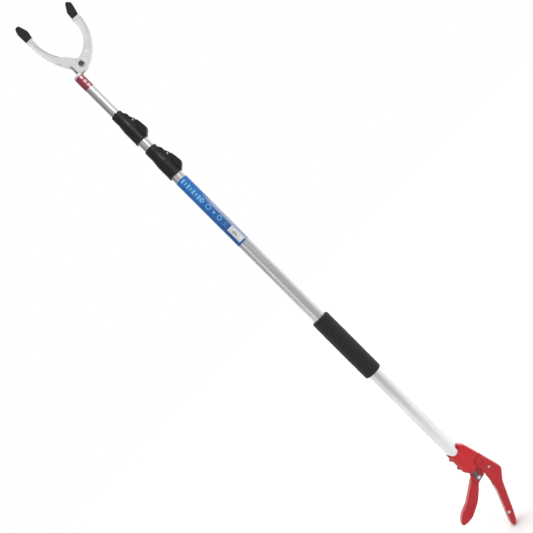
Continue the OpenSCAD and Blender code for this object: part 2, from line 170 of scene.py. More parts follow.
def round_plate(outline, radius, half_w, edge):
    """An XZ outline as a plate from -half_w to half_w on Y, its corners rounded by
    radius and its rims by edge."""
    bm = bmesh.new()
    steps = 6
    turns = [math.pi / 2 * k / steps for k in range(steps + 1)]
    rim = [(half_w - edge + edge * math.sin(a), edge * (1 - math.cos(a))) for a in turns]
    rings = []
    for y, depth in [(-y, depth) for y, depth in reversed(rim)] + rim:
        rings.append([bm.verts.new((p.x, y, p.y)) for p in rounded(inset(outline, depth), radius)])
    n = len(rings[0])
    bm.faces.new(rings[0])
    bm.faces.new(rings[-1])
    for a, b in zip(rings, rings[1:]):
        for i in range(n):
            k = (i + 1) % n
            bm.faces.new((a[i], a[k], b[k], b[i]))
    bmesh.ops.recalc_face_normals(bm, faces=bm.faces)
    return bm


def spin(profile, segments):
    """A closed solid turned about Z from (radius, height) points that form a loop
    or start and end on the axis."""
    bm = bmesh.new()
    on_axis = profile[0][0] < 1e-6
    rings = []
    for radius, height in profile:
        if radius < 1e-6:
            rings.append([bm.verts.new((0, 0, height))])
            continue
        rings.append([
            bm.verts.new((radius * math.cos(2 * math.pi * i / segments),
                          radius * math.sin(2 * math.pi * i / segments), height))
            for i in range(segments)
        ])
    pairs = list(zip(rings, rings[1:]))
    if not on_axis:
        pairs.append((rings[-1], rings[0]))
    for a, b in pairs:
        for i in range(segments):
            k = (i + 1) % segments
            face = [a[i % len(a)], a[k % len(a)], b[k % len(b)], b[i % len(b)]]
            bm.faces.new(list(dict.fromkeys(face)))
    bmesh.ops.recalc_face_normals(bm, faces=bm.faces)
    return bm


def tube(inner_r, outer_r, low, high, segments=96):
    """A ring about Z between two heights."""
    return spin([(inner_r, low), (outer_r, low), (outer_r, high), (inner_r, high)], segments)


def rod(radius, low, high, segments):
    """A cylinder about Z between two heights."""
    return tube(0, radius, low, high, segments)


def block(low, high):
    """A box between two corners."""
    bm = bmesh.new()
    size = [b - a for a, b in zip(low, high)]
    middle = [(a + b) / 2 for a, b in zip(low, high)]
    place = Matrix.Translation(middle) @ Matrix.Diagonal((*size, 1))
    bmesh.ops.create_cube(bm, size=1, matrix=place)
    return bm


def moved(bm, matrix):
    bmesh.ops.transform(bm, matrix=matrix, verts=bm.verts)
    return bm


def along_y(bm, at, side):
    """Turns a solid spun about Z so that its top faces side * Y, at a point."""
    turn = Matrix.Rotation(-side * math.pi / 2, 4, "X")
    return moved(bm, Matrix.Translation(at) @ turn)


def joined(*meshes):
    """Solids that don't overlap, as one mesh."""
    bm = bmesh.new()
    for part in meshes:
        holder = bpy.data.meshes.new("part")
        part.to_mesh(holder)
        part.free()
        bm.from_mesh(holder)
        bpy.data.meshes.remove(holder)
    return bm


# ---- Work on objects -------------------------------------------------------


def object_of(bm, name):
    mesh = bpy.data.meshes.new(name)
    bm.to_mesh(mesh)
    bm.free()
    obj = bpy.data.objects.new(name, mesh)
    bpy.context.scene.collection.objects.link(obj)
    return obj


def shape_of(obj):
    """An object's shape, to build on with; the object itself goes."""
    bm = bmesh.new()
    bm.from_mesh(obj.data)
    bpy.data.objects.remove(obj)
    return bm


def apply_modifiers(obj):
    depsgraph = bpy.context.evaluated_depsgraph_get()
    mesh = bpy.data.meshes.new_from_object(obj.evaluated_get(depsgraph))
    obj.modifiers.clear()
    old, obj.data = obj.data, mesh
    bpy.data.meshes.remove(old)


def combine(obj, bm, operation):
    """Unites, intersects or cuts an object with a solid."""
    tool = object_of(bm, "tool")
    step = obj.modifiers.new("combine", "BOOLEAN")
    step.operation, step.solver, step.object = operation, "EXACT", tool
    apply_modifiers(obj)
    bpy.data.objects.remove(tool)
    # Slivers left by one step would spoil the next
    bm = bmesh.new()
    bm.from_mesh(obj.data)
    bmesh.ops.remove_doubles(bm, verts=bm.verts, dist=0.002)
    bmesh.ops.dissolve_degenerate(bm, edges=bm.edges, dist=0.002)
    bm.to_mesh(obj.data)
    bm.free()
    if not obj.data.polygons:
        raise ValueError(f"nothing is left of {obj.name} after {operation}")


def volume(obj):
    bm = bmesh.new()
    bm.from_mesh(obj.data)
    size = bm.calc_volume()
    bm.free()
    return size


def soften(obj, voxel, passes):
    """Rounds every edge and corner, as a casting or a moulding has them, and stops
    if the shape's volume changes more than rounding can change it."""
    most = 0.08
    before = volume(obj)
    remesh = obj.modifiers.new("remesh", "REMESH")
    remesh.mode, remesh.voxel_size = "VOXEL", voxel
    smooth = obj.modifiers.new("smooth", "SMOOTH")
    smooth.factor, smooth.iterations = 0.5, passes
    apply_modifiers(obj)
    if abs(volume(obj) / before - 1) > most:
        raise ValueError(f"{obj.name} went from {before:.0f} to {volume(obj):.0f} mm3")


def finish(obj, body, surface, replaces=(), sharp=35):
    """Turns a piece to metres, shades it, and hands it to the frame."""
    mesh = obj.data
    mesh.transform(Matrix.Scale(MM, 4))
    mesh.materials.clear()
    mesh.materials.append(surface)
    mesh.shade_smooth()
    mesh.set_sharp_from_angle(angle=math.radians(sharp))
    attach(obj, body)
    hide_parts(*replaces)
    return obj


def moulded(name, node, body, surface, add=(), cut=(), voxel=0.6, passes=3):
    """A cast or moulded piece: its CAD shape with details added and cut, and every
    edge softened."""
    obj = object_of(cad_shape(node), name)
    for bm in add:
        combine(obj, bm, "UNION")
    for bm in cut:
        combine(obj, bm, "DIFFERENCE")
    soften(obj, voxel, passes)
    return finish(obj, body, surface, (node,), sharp=180)


def machined(name, bm, body, surface, nodes, bevel=0.25, cut=()):
    """A turned, pressed or cut metal piece with broken edges."""
    obj = object_of(bm, name)
    for tool in cut:
        combine(obj, tool, "DIFFERENCE")
    step = obj.modifiers.new("edges", "BEVEL")
    step.width, step.segments, step.angle_limit = bevel, 2, math.radians(40)
    step.limit_method = "ANGLE"
    apply_modifiers(obj)
    return finish(obj, body, surface, nodes)


# ---- Materials -------------------------------------------------------------


class Surface:
    """A Principled material with short helpers for its procedural nodes."""

    def __init__(self, name, metallic=0.0, roughness=0.5):
        self.material = bpy.data.materials.new(name)
        self.material.use_nodes = True
        self.tree = self.material.node_tree
        self.shader = self.tree.nodes["Principled BSDF"]
        self.fix("Metallic", metallic)
        self.fix("Roughness", roughness)
        self.place = self.node("ShaderNodeTexCoord").outputs["Object"]

    def node(self, kind, **settings):
        made = self.tree.nodes.new(kind)
        for key, value in settings.items():
            setattr(made, key, value)
        return made

    def feed(self, socket, value):
        if isinstance(value, bpy.types.NodeSocket):
            self.tree.links.new(value, socket)
        else:
            socket.default_value = value

    def fix(self, name, value):
        self.feed(self.shader.inputs[name], value)

    def math(self, operation, a, b=0.0, c=0.0):
        made = self.node("ShaderNodeMath", operation=operation)
        for socket, value in zip(made.inputs, (a, b, c)):
            self.feed(socket, value)
        return made.outputs[0]

    def noise(self, size_mm, stretch=(1, 1, 1), detail=3.0):
        """Noise from 0 to 1 with features of this size, stretched along the axes."""
        mapping = self.node("ShaderNodeMapping")
        self.feed(mapping.inputs["Vector"], self.place)
        mapping.inputs["Scale"].default_value = [1 / (size_mm * MM * s) for s in stretch]
        made = self.node("ShaderNodeTexNoise")
        self.feed(made.inputs["Vector"], mapping.outputs[0])
        made.inputs["Scale"].default_value = 1
        made.inputs["Detail"].default_value = detail
        return made.outputs["Fac"]

    def cells(self, size_mm):
        made = self.node("ShaderNodeTexVoronoi")
        self.feed(made.inputs["Vector"], self.place)
        made.inputs["Scale"].default_value = 1 / (size_mm * MM)
        return made.outputs["Distance"]

    def spread(self, value, low, high, to_low=0.0, to_high=1.0):
        made = self.node("ShaderNodeMapRange")
        for socket, v in zip(made.inputs, (value, low, high, to_low, to_high)):
            self.feed(socket, v)
        return made.outputs[0]

    def mix(self, share, a, b):
        made = self.node("ShaderNodeMix", data_type="RGBA")
        self.feed(made.inputs[0], share)
        for socket, colour in ((made.inputs[6], a), (made.inputs[7], b)):
            self.feed(socket, (*colour, 1) if isinstance(colour, tuple) else colour)
        return made.outputs[2]

    def edges(self, low=0.515, high=0.58):
        """0 on flat faces to 1 on worn outer edges."""
        return self.spread(self.node("ShaderNodeNewGeometry").outputs["Pointiness"], low, high)

    def painted_shade_mask(self, low=0.49, high=0.44):
        """0 on flat faces to 1 in inner corners, where shade is painted in."""
        return self.spread(self.node("ShaderNodeNewGeometry").outputs["Pointiness"], low, high)

    def colour(self, value):
        self.feed(self.shader.inputs["Base Color"], value)

    def rough(self, value):
        self.feed(self.shader.inputs["Roughness"], value)

    def bump(self, height, depth_mm, strength=1.0):
        made = self.node("ShaderNodeBump")
        made.inputs["Strength"].default_value = strength
        made.inputs["Distance"].default_value = depth_mm * MM
        self.feed(made.inputs["Height"], height)
        self.feed(self.shader.inputs["Normal"], made.outputs[0])


def aluminium_tube():
    """Satin anodised tube with drawing lines along it and faint handling marks."""
    s = Surface("aluminium_tube", metallic=1.0)
    lines = s.noise(0.5, (1, 1, 160))
    smudge = s.noise(26, (1, 1, 3), 2)
    tone = s.mix(lines, (0.74, 0.75, 0.765), (0.86, 0.865, 0.87))
    s.colour(s.mix(s.spread(smudge, 0.35, 0.7, 0, 0.45), tone, (0.68, 0.685, 0.69)))
    s.rough(s.math("ADD", s.spread(lines, 0.2, 0.8, 0.24, 0.36),
                   s.spread(smudge, 0.3, 0.7, 0, 0.08)))
    s.bump(smudge, 0.03, 0.3)
    return s.material


def cast_alloy():
    """Bright sprayed casting, slightly uneven, with painted shade in its hollows, rubbed along its
    edges.
    """
    s = Surface("cast_alloy", metallic=0.25)
    patch = s.noise(14, detail=2)
    tone = s.mix(patch, (0.78, 0.785, 0.795), (0.86, 0.865, 0.87))
    # Painted shade: the hollows darkened towards grey.
    tone = s.mix(s.math("MULTIPLY", s.painted_shade_mask(), 0.5), tone, (0.42, 0.42, 0.43))
    s.colour(s.mix(s.math("MULTIPLY", s.edges(), 0.4), tone, (0.92, 0.92, 0.92)))
    s.rough(s.spread(patch, 0.3, 0.7, 0.36, 0.5))
    s.bump(s.noise(9, detail=1), 0.05, 0.3)
    return s.material


def painted(name, colour, worn):
    """Glossy paint on a casting: slight orange peel, with painted shade in the corners."""
    s = Surface(name)
    patch = s.noise(18, detail=2)
    tone = s.mix(s.spread(patch, 0.3, 0.7), tuple(c * 0.88 for c in colour), colour)
    # Painted shade: the corners darkened to a deep red.
    tone = s.mix(s.math("MULTIPLY", s.painted_shade_mask(), 0.75), tone, tuple(c * 0.22 for c in colour))
    scuffed = s.math("MULTIPLY", s.edges(0.53, 0.62), s.spread(s.noise(2.2), 0.5, 0.62))
    s.colour(s.mix(s.math("MULTIPLY", scuffed, 0.55), tone, worn))
    s.rough(s.math("ADD", s.spread(patch, 0.3, 0.7, 0.27, 0.38),
                   s.math("MULTIPLY", scuffed, 0.2)))
    s.fix("Specular IOR Level", 0.35)
    s.fix("Coat Weight", 0.15)
    s.fix("Coat Roughness", 0.15)
    s.bump(s.noise(1.6, detail=2), 0.09, 0.45)
    return s.material


def moulded_plastic(name, colour, roughness):
    """Spark-textured plastic, a little shinier and paler where hands rub it."""
    s = Surface(name)
    patch = s.noise(12, detail=2)
    pale = tuple(c * 2.2 + 0.008 for c in colour)
    tone = s.mix(s.spread(patch, 0.3, 0.7, 0, 0.25), colour, pale)
    s.colour(s.mix(s.math("MULTIPLY", s.edges(), 0.7), tone, pale))
    s.rough(s.math("SUBTRACT", s.spread(patch, 0.3, 0.7, roughness, roughness + 0.1),
                   s.math("MULTIPLY", s.edges(), 0.12)))
    s.fix("Specular IOR Level", 0.4)
    s.bump(s.noise(0.45, detail=2), 0.02, 0.6)
    return s.material


def closed_foam():
    """Black closed-cell foam: matt, pitted with fine pores, a little dusty."""
    s = Surface("closed_foam", roughness=0.93)
    pores = s.cells(1.1)
    dust = s.noise(9, detail=3)
    tone = s.mix(s.spread(dust, 0.35, 0.75), (0.009, 0.009, 0.010), (0.021, 0.021, 0.022))
    # The pores are painted near black: painted shade in the pits.
    s.colour(s.mix(s.spread(pores, 0.05, 0.3), (0.003, 0.003, 0.003), tone))
    s.rough(s.spread(dust, 0.3, 0.7, 0.86, 0.97))
    s.fix("Sheen Weight", 0.12)
    s.bump(s.math("ADD", s.spread(pores, 0, 0.35), s.noise(0.6)), 0.22, 0.8)
    return s.material


def steel(name, colour, roughness):
    """Plated or blackened steel with a fine grain and worn edges."""
    s = Surface(name, metallic=1.0)
    grain = s.noise(1.2, detail=4)
    worn = tuple(min(0.85, c * 1.5 + 0.08) for c in colour)
    tone = s.mix(grain, tuple(c * 0.8 for c in colour), colour)
    s.colour(s.mix(s.math("MULTIPLY", s.edges(), 0.7), tone, worn))
    s.rough(s.spread(grain, 0.25, 0.75, roughness - 0.06, roughness + 0.1))
    s.bump(grain, 0.03, 0.4)
    return s.material


class Print(Surface):
    """Printed film round a tube, laid out by the distance round it from the -Y
    side, in mm, and by the height, in mm."""

    def __init__(self, name, radius):
        super().__init__(name, roughness=0.3)
        parts = self.node("ShaderNodeSeparateXYZ")
        self.feed(parts.inputs[0], self.place)
        x, y, z = parts.outputs
        turn = self.math("ARCTAN2", x, self.math("MULTIPLY", y, -1))
        self.across = self.math("MULTIPLY", turn, radius)
        self.height = self.math("DIVIDE", z, MM)

    def offsets(self, centre):
        return (self.math("ABSOLUTE", self.math("SUBTRACT", self.across, centre[0])),
                self.math("ABSOLUTE", self.math("SUBTRACT", self.height, centre[1])))

    def bar(self, centre, size):
        dx, dz = self.offsets(centre)
        return self.math("MINIMUM", self.math("LESS_THAN", dx, size[0] / 2),
                         self.math("LESS_THAN", dz, size[1] / 2))

    def soft_square(self, centre, half):
        dx, dz = self.offsets(centre)
        reach = self.math("ADD", self.math("POWER", dx, 4), self.math("POWER", dz, 4))
        return self.math("LESS_THAN", reach, half ** 4)

    def diamond(self, centre, reach):
        dx, dz = self.offsets(centre)
        return self.math("LESS_THAN", self.math("ADD", dx, dz), reach)

    def ring(self, centre, radius, width):
        dx, dz = self.offsets(centre)
        squares = self.math("ADD", self.math("POWER", dx, 2), self.math("POWER", dz, 2))
        from_line = self.math("SUBTRACT", self.math("SQRT", squares), radius)
        return self.math("LESS_THAN", self.math("ABSOLUTE", from_line), width / 2)

    def paint(self, under, marks, colour):
        for mark in marks:
            under = self.mix(mark, under, colour)
        return under

    def wear(self, tone):
        """Scuffs and a slight ripple over the whole film."""
        scuff = self.noise(1.2, (1, 1, 14))
        self.colour(self.mix(self.spread(scuff, 0.62, 0.8, 0, 0.35), tone, (0.75, 0.78, 0.8)))
        self.rough(self.spread(scuff, 0.3, 0.8, 0.24, 0.42))
        self.fix("Coat Weight", 0.3)
        self.bump(self.noise(7), 0.08, 0.4)
        return self.material


def pole_print():
    """Blue film with a column of pale shapes, and a white panel at its lower end."""
    low, high = corners("pole_label")
    length = high.z - low.z
    s = Print("pole_print", high.x)
    bright, deep, pale = (0.012, 0.165, 0.54), (0.008, 0.11, 0.36), (0.22, 0.56, 0.92)

    def level(share):
        return low.z + share * length

    blue = s.mix(s.spread(s.height, level(0.2), level(0.75)), deep, bright)
    # Painted reflection: the film paler and greyer towards the +X side, in its lower half.
    painted_reflection_mask = s.math("MINIMUM", s.spread(s.across, 6.5, 9.5),
                  s.spread(s.height, level(0.72), level(0.55)))
    tone = s.mix(s.math("MULTIPLY", painted_reflection_mask, 0.75), blue, (0.48, 0.5, 0.62))
    bars = [s.bar((0, level(0.965 - 0.042 * k)), (11 - 3.5 * (k % 2), 4.6 - 1.4 * (k % 2)))
            for k in range(7)]
    tone = s.paint(tone, bars + [s.diamond((0, level(0.665)), 6.5)], pale)
    tone = s.paint(tone, [s.diamond((0, level(0.665)), 3)], bright)
    rings = [s.ring((0, level(0.56)), 5.5, 1.6), s.ring((0.5, level(0.385)), 4.6, 1.8)]
    tone = s.paint(tone, rings + [s.diamond((0, level(0.47)), 3.4)], pale)
    small = [s.bar((-3.5 + 3.5 * (k % 3), level(0.3 - 0.02 * (k // 3))), (2, 1.5))
             for k in range(6)]
    tone = s.paint(tone, small, (0.2, 0.4, 0.7))
    tone = s.paint(tone, [s.bar((1.2, level(0.125)), (16, 0.2 * length))], (0.72, 0.75, 0.78))
    tone = s.paint(tone, [s.bar((0.2, level(0.14)), (4, 12))], (0.38, 0.34, 0.3))
    tone = s.paint(tone, [s.bar((2.2, level(0.055)), (8, 3))], (0.88, 0.9, 0.92))
    return s.wear(tone)


def head_print():
    """Red film with three pale rounded squares, one above the other."""
    low, high = corners("head_label")
    s = Print("head_print", high.x)
    middle = (low.z + high.z) / 2
    pitch = (high.z - low.z) / 3
    # Darker and browner towards the -X side: painted shade on that side of the tube.
    tone = s.mix(s.spread(s.across, -14, -2), (0.24, 0.06, 0.075), (0.36, 0.035, 0.06))
    for k in (-1, 0, 1):
        centre = (4.6, middle + k * pitch)
        tone = s.paint(tone, [s.soft_square(centre, 4.1)], (0.58, 0.2, 0.26))
        tone = s.paint(tone, [s.soft_square(centre, 3.1)], (0.84, 0.58, 0.61))
    return s.wear(tone)


ALUMINIUM = aluminium_tube()
ALLOY = cast_alloy()
RED = painted("red_paint", (0.50, 0.008, 0.016), (0.42, 0.30, 0.29))
CRIMSON = painted("red_paint_bright", (0.62, 0.007, 0.014), (0.45, 0.32, 0.30))
BLACK_PLASTIC = moulded_plastic("black_plastic", (0.007, 0.0073, 0.0076), 0.36)
GREY_PLASTIC = moulded_plastic("grey_plastic", (0.16, 0.16, 0.165), 0.45)
RUBBER = moulded_plastic("tip_rubber", (0.010, 0.010, 0.010), 0.62)
FOAM = closed_foam()
DARK_STEEL = steel("dark_steel", (0.12, 0.12, 0.125), 0.36)
ZINC = steel("zinc_steel", (0.62, 0.61, 0.58), 0.28)


# ---- Pole ------------------------------------------------------------------


def foam_sleeve():
    """Foam hand grip: slightly full in the middle, softly rounded and pitted."""
    high = corners("foam_grip")[1]
    bore = OUTER_R + 0.05
    outside = high.x - 0.3
    end_r = 4.6
    half = high.z - 0.2
    chamfer_w, chamfer_h = 0.8, 0.6
    fullness = 0.25
    rows, end_steps = 170, 8
    profile = [(bore, -half + chamfer_h), (bore + chamfer_w, -half)]
    for k in range(end_steps + 1):
        a = math.radians(-90 + 90 * k / end_steps)
        profile.append((outside - end_r + end_r * math.cos(a), -half + end_r + end_r * math.sin(a)))
    for k in range(1, rows):
        z = -half + end_r + (2 * half - 2 * end_r) * k / rows
        profile.append((outside + fullness * math.cos(z / half * math.pi / 2), z))
    for k in range(end_steps + 1):
        a = math.radians(90 * k / end_steps)
        profile.append((outside - end_r + end_r * math.cos(a), half - end_r + end_r * math.sin(a)))
    profile += [(bore + chamfer_w, half), (bore, half - chamfer_h)]
    bm = spin(profile, 144)
    # Only the outside is pitted and uneven: the bore stays true
    for v in bm.verts:
        out = Vector((v.co.x, v.co.y, 0))
        if out.length > bore + 1.5:
            skin = 0.10 * noise.noise(v.co / 1.4) + 0.22 * noise.noise(v.co / 17)
            v.co += out.normalized() * skin
    obj = finish(object_of(bm, "foam_sleeve"), "grip", FOAM, ("foam_grip",), sharp=180)
    return obj


def film(name, node, body, surface):
    """A printed film wrapped once round a tube, with its lap at the back."""
    low, high = corners(node)
    outside = high.x
    inside = outside - 0.2
    lip = 0.04
    profile = [(inside, low.z), (outside - lip, low.z), (outside, low.z + lip)]
    row_h = 3
    steps = round((high.z - low.z) / row_h)
    for k in range(1, steps):
        profile.append((outside, low.z + (high.z - low.z) * k / steps))
    profile += [(outside, high.z - lip), (outside - lip, high.z), (inside, high.z)]
    bm = spin(profile, 96)
    lap, lap_angle = 0.16, 30
    for v in bm.verts:
        turn = math.degrees(math.atan2(v.co.x, v.co.y))
        if 0 < turn < lap_angle and Vector((v.co.x, v.co.y)).length > inside + 0.05:
            v.co += Vector((v.co.x, v.co.y, 0)).normalized() * lap
    return finish(object_of(bm, name), body, surface, (node,))


# ---- Flip clamps -----------------------------------------------------------


def clamp(level, high_r, low_body, lever_body):
    """A clamp's housing, lever and pin. The housing is on the lower tube."""
    housing, lever, pin = (f"{level}_clamp_{part}" for part in ("body", "lever", "pin"))
    low, high = corners(housing)
    pin_low, pin_high = corners(pin)
    pin_at = (pin_low + pin_high) / 2
    body_r = -low.x
    collar_r = high_r + 2.3

    # Shallow bands round the collar, a bead down each side, and a toe ring
    bands = [moved(tube(collar_r - 1, collar_r + 0.35, -0.9, 0.9),
                   Matrix.Translation((0, 0, high.z - drop))) for drop in (4.2, 8.2, 12.2)]
    toe = moved(tube(body_r - 1, body_r + 0.5, 0, 3), Matrix.Translation((0, 0, low.z + 2)))
    bead_half, bead_y = 1.1, body_r - 0.8
    beads = [block((-bead_half, s * bead_y - 0.9, low.z + 5),
                   (bead_half, s * bead_y + 1.5, low.z + 38)) for s in Y_SIDES]
    # A panel sunk into the wall beside each bead
    panel_x, panel_y, sunk = (-9.5, -5.3), body_r + 0.2, 0.7
    panels = object_of(joined(*[block((panel_x[0], s * panel_y - 4, low.z + 10),
                                      (panel_x[1], s * panel_y + 4, low.z + 34))
                                for s in Y_SIDES]), "panels")
    combine(panels, tube(body_r - sunk, body_r + 9, low.z, low.z + 45), "INTERSECT")
    moulded(f"{level}_clamp_housing", housing, low_body, BLACK_PLASTIC,
            add=[joined(*bands), toe, joined(*beads)], cut=[shape_of(panels)])

    # Ribs across the thumb end of the lever
    lever_low, lever_high = corners(lever)
    half_w = lever_high.y
    start = Vector((lever_high.x - 1.1, lever_low.z + 14.6))
    end = Vector((lever_high.x - 7.6, lever_low.z + 6.0))
    across = (end - start).normalized()
    outward = Vector((across.y, -across.x))
    if outward.x < 0:
        outward = -outward
    count, foot, top = 5, 0.55, 0.4
    root, rise, margin = outward * 1.2, outward * 0.75, 1.8
    ribs = []
    for k in range(count):
        c = start.lerp(end, k / (count - 1))
        section = [c - across * foot - root, c + across * foot - root,
                   c + across * top + rise, c - across * top + rise]
        ribs.append(plate(section, -half_w + margin, half_w - margin))
    moulded(f"{level}_clamp_flip_lever", lever, lever_body, BLACK_PLASTIC,
            add=[joined(*ribs)], voxel=0.5)

    head = pin_high.y
    dome = [(0, -head), (1.5, -head), (1.5, head - 0.5), (1.9, head - 0.5), (1.9, head - 0.1),
            (1.4, head + 0.2), (0, head + 0.3)]
    bm = along_y(spin(dome, 32), pin_at, -1)
    machined(f"{level}_clamp_rivet_pin", bm, low_body, ZINC, (pin,), bevel=0.1)


# ---- Handle ----------------------------------------------------------------

# Outlines from the trigger's pivot. The palm's line runs on past the handle's seam
# with the collar, whose own back slopes up from there.
SEAM = (11, 11)
PAST_SEAM = (3.3, 40)
PALM = [(24.2, -38.5), (23.4, -43.5), (18.7, -49.5), (6.3, -64.5), (-3.7, -85.5),
        (-22.1, -125.5), (-31.6, -143.5), (-38, -149.8)]
FINGERS = [(-36.6, -120), (-19.7, -77.5)]
COLLAR_BACK = [(-31.6, 85), (1, 46.5), SEAM]
ARM = [(-40, -17.3), (-46, -21.3), (-84.5, -47.5), (-106, -56.3), (-117, -63.5), (-124, -72.5),
       (-122, -76), (-112, -78), (-95.5, -76.5), (-65.6, -61.5), (-50, -48.5), (-40, -40)]
ROOT = [(0, 10.5), (-14, 6.5), (-31, -2.5), (-37.7, -14.5), (-46, -21.3), (-52, -50),
        (-33, -34), (-14, -29.5), (5, -8.5), (9, 4)]
TROUGH = [(-52, -31), (-84, -53), (-106, -62.5), (-110, -67), (-97, -69), (-66, -54)]


def from_pivot(outline):
    return [(TRIGGER_AT.x + x, TRIGGER_AT.z + z) for x, z in outline]


def handle_trim(half_w):
    """The solid that the handle lies in: a full back for the palm, and below the
    slot, where the wall is thick, a round front for the fingers."""
    palm = [PAST_SEAM] + PALM + [(-90, -149.8), (-90, 40)]
    fingers = [(60, -175), (-58.8, -175)] + FINGERS + [(-60, -30), (-60, 60), (60, 60)]
    trim = object_of(round_plate(from_pivot(palm), 20, half_w + CLEAR, 6), "trim")
    combine(trim, round_plate(from_pivot(fingers), 12, half_w + CLEAR, 4.5), "INTERSECT")
    return shape_of(trim)


def handle_shells():
    """The two handle shells, full and round where the palm holds them."""
    ring_rise = 1
    half_w = corners("grip_shell_right")[1].y - ring_rise
    for side, word in ((-1, "left"), (1, "right")):
        node = f"grip_shell_{word}"
        obj = object_of(cad_shape(node), f"{word}_handle_shell")
        combine(obj, handle_trim(half_w), "INTERSECT")
        # The raised ring round the pivot, with its face sunk inside it
        root, face, top = half_w - 3.5, half_w + 0.3, half_w + ring_rise
        boss = spin([(0, root), (10.6, root), (10.6, face), (9.9, top), (7.4, top), (6.8, face),
                     (0, face)], 64)
        combine(obj, along_y(boss, TRIGGER_AT, side), "UNION")
        soften(obj, 0.6, 4)
        finish(obj, "grip", RED, (node,), sharp=180)


def collar():
    """The casting that holds the handle on the pole: a round socket for the tube,
    and a block behind it whose back slopes down to the palm's."""
    low, high = corners("front_collar")
    outside = -low.x
    half_w = 13
    back = COLLAR_BACK + [PALM[0], (24.2, -60), (-60, -60), (-60, 85)]
    trim = object_of(round_plate(from_pivot(back), 5, half_w + CLEAR, 5), "trim")
    combine(trim, rod(outside + 0.2, low.z - 1, high.z + 1, 96), "UNION")
    obj = object_of(cad_shape("front_collar"), "collar_casting")
    combine(obj, shape_of(trim), "INTERSECT")
    # A raised pad under each screw's head
    for z in screw_heights():
        pad = spin([(0, -2), (5.2, -2), (5.2, 1), (4.6, 2.2), (0, 2.2)], 48)
        turn = facing_minus_x(-outside + 0.9, z)
        combine(obj, moved(pad, turn), "UNION")
        combine(obj, moved(rod(2.1, -6, 9, 32), turn), "DIFFERENCE")
    soften(obj, 0.6, 4)
    finish(obj, "grip", CRIMSON, ("front_collar",), sharp=180)


def facing_minus_x(x, z):
    """Where something turned about Z lies with its top facing -X."""
    return Matrix.Translation((x, 0, z)) @ Matrix.Rotation(-math.pi / 2, 4, "Y")


def screw_heights():
    low, high = corners("collar_screws")
    head_r = high.y
    return (low.z + head_r, high.z - head_r)


def cross_screw(radius, rise, shank_r, shank):
    """A domed screw with a cross recess, its head's underside at height 0."""
    bm = spin([(0, -shank), (shank_r, -shank), (shank_r, 0), (radius, 0), (radius, rise * 0.35),
               (radius * 0.82, rise * 0.78), (radius * 0.5, rise * 0.97), (0, rise)], 40)
    long, short, floor = radius * 0.62, radius * 0.13, rise * 0.3
    arms = [block((-x, -y, floor), (x, y, rise + 1)) for x, y in ((long, short), (short, long))]
    return bm, arms


def screws():
    """Every cross-head screw: two in the collar and three in the shells."""
    low, high = corners("collar_screws")
    placed = [(high.y, 2.2, 2, 4.5, facing_minus_x(low.x + 2.6, z)) for z in screw_heights()]
    fastener_group("collar_cross_screws", "collar_screws", DARK_STEEL, placed)

    low, high = corners("shell_screws")
    side_r, tip_r = 2.8, 3.2
    side_at = Vector((high.x - side_r, 0, high.z - side_r))
    tip_at = Vector((low.x + tip_r, 0, low.z + tip_r))
    placed = [(side_r, 1.7, 1.9, 2.6, seat(side_at, s, 14.05)) for s in Y_SIDES]
    placed.append((tip_r, 1.8, 2, 18, seat(tip_at, -1, 14.0)))
    fastener_group("shell_cross_screws", "shell_screws", ZINC, placed)


def seat(at, side, y):
    """Where a head lies: its underside at side * y, its top facing out."""
    return Matrix.Translation((at.x, side * y, at.z)) @ Matrix.Rotation(-side * math.pi / 2, 4, "X")


def fastener_group(name, node, surface, placed):
    """Screws of one node as one piece. Each is a head's radius and rise, a shank's
    radius and length, and a place."""
    heads, cuts = [], []
    for radius, rise, shank_r, shank, matrix in placed:
        head, arms = cross_screw(radius, rise, shank_r, shank)
        heads.append(moved(head, matrix))
        cuts.append([moved(a, matrix) for a in arms])
    first = joined(*[c[0] for c in cuts])
    second = joined(*[c[1] for c in cuts])
    machined(name, joined(*heads), "grip", surface, (node,), bevel=0.12, cut=(first, second))


def trigger():
    """The squeezed lever, its finger side rounded like a bar of soap."""
    arm = rounded(from_pivot(ARM), 30)
    root = rounded(from_pivot(ROOT), 4)
    arm_half, root_half = 8.5, 6
    obj = object_of(plate(arm, -arm_half, arm_half, edge=5, steps=6), "trigger_lever")
    combine(obj, plate(root, -root_half, root_half, edge=1.2, steps=3), "UNION")
    hub = spin([(0, -6), (9.2, -6), (10, -5.2), (10, 5.2), (9.2, 6), (0, 6)], 64)
    combine(obj, along_y(hub, TRIGGER_AT, 1), "UNION")
    link_low, link_high = corners("link_pins")
    washer_r = 3.6
    pin_at = Vector((link_high.x - washer_r, 0, link_low.z + washer_r))
    for at, radius in ((TRIGGER_AT, 4.05), (pin_at, 3.4)):
        bore = along_y(rod(radius, -20, 20, 64), Vector((at.x, 0, at.z)), 1)
        combine(obj, bore, "DIFFERENCE")
    # A shallow trough along each side of the arm
    trough = rounded(from_pivot(TROUGH), 20)
    for s in Y_SIDES:
        y0, y1 = sorted((s * 7.8, s * 12))
        combine(obj, plate(trough, y0, y1), "DIFFERENCE")
    soften(obj, 0.55, 5)
    finish(obj, "trigger", RED, ("trigger",), sharp=180)


def spring():
    """The return spring: its CAD shape with its finish, on a mesh of its own."""
    obj = finish(object_of(cad_shape("return_spring"), "rod_return_spring"), "grip",
                 ZINC, ("return_spring",), sharp=180)
    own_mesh(obj)


def linkage():
    """The pull link's two straps and its pins."""
    machined("pull_link_straps", cad_shape("pull_link"), "link", DARK_STEEL,
             ("pull_link",), bevel=0.35)
    machined("link_pin_pair", cad_shape("link_pins"), "link", ZINC,
             ("link_pins",), bevel=0.45)


# ---- Head ------------------------------------------------------------------

# Centres of a jaw's two edge arcs from the jaw bolt, with their radii
FIXED_ARCS = ((147.9, 111.7), 202.0, (58.7, 100.2), 98.2)
MOVING_ARCS = ((-32.7, 84.8), 104.5, (-6.2, 72.2), 58.0)


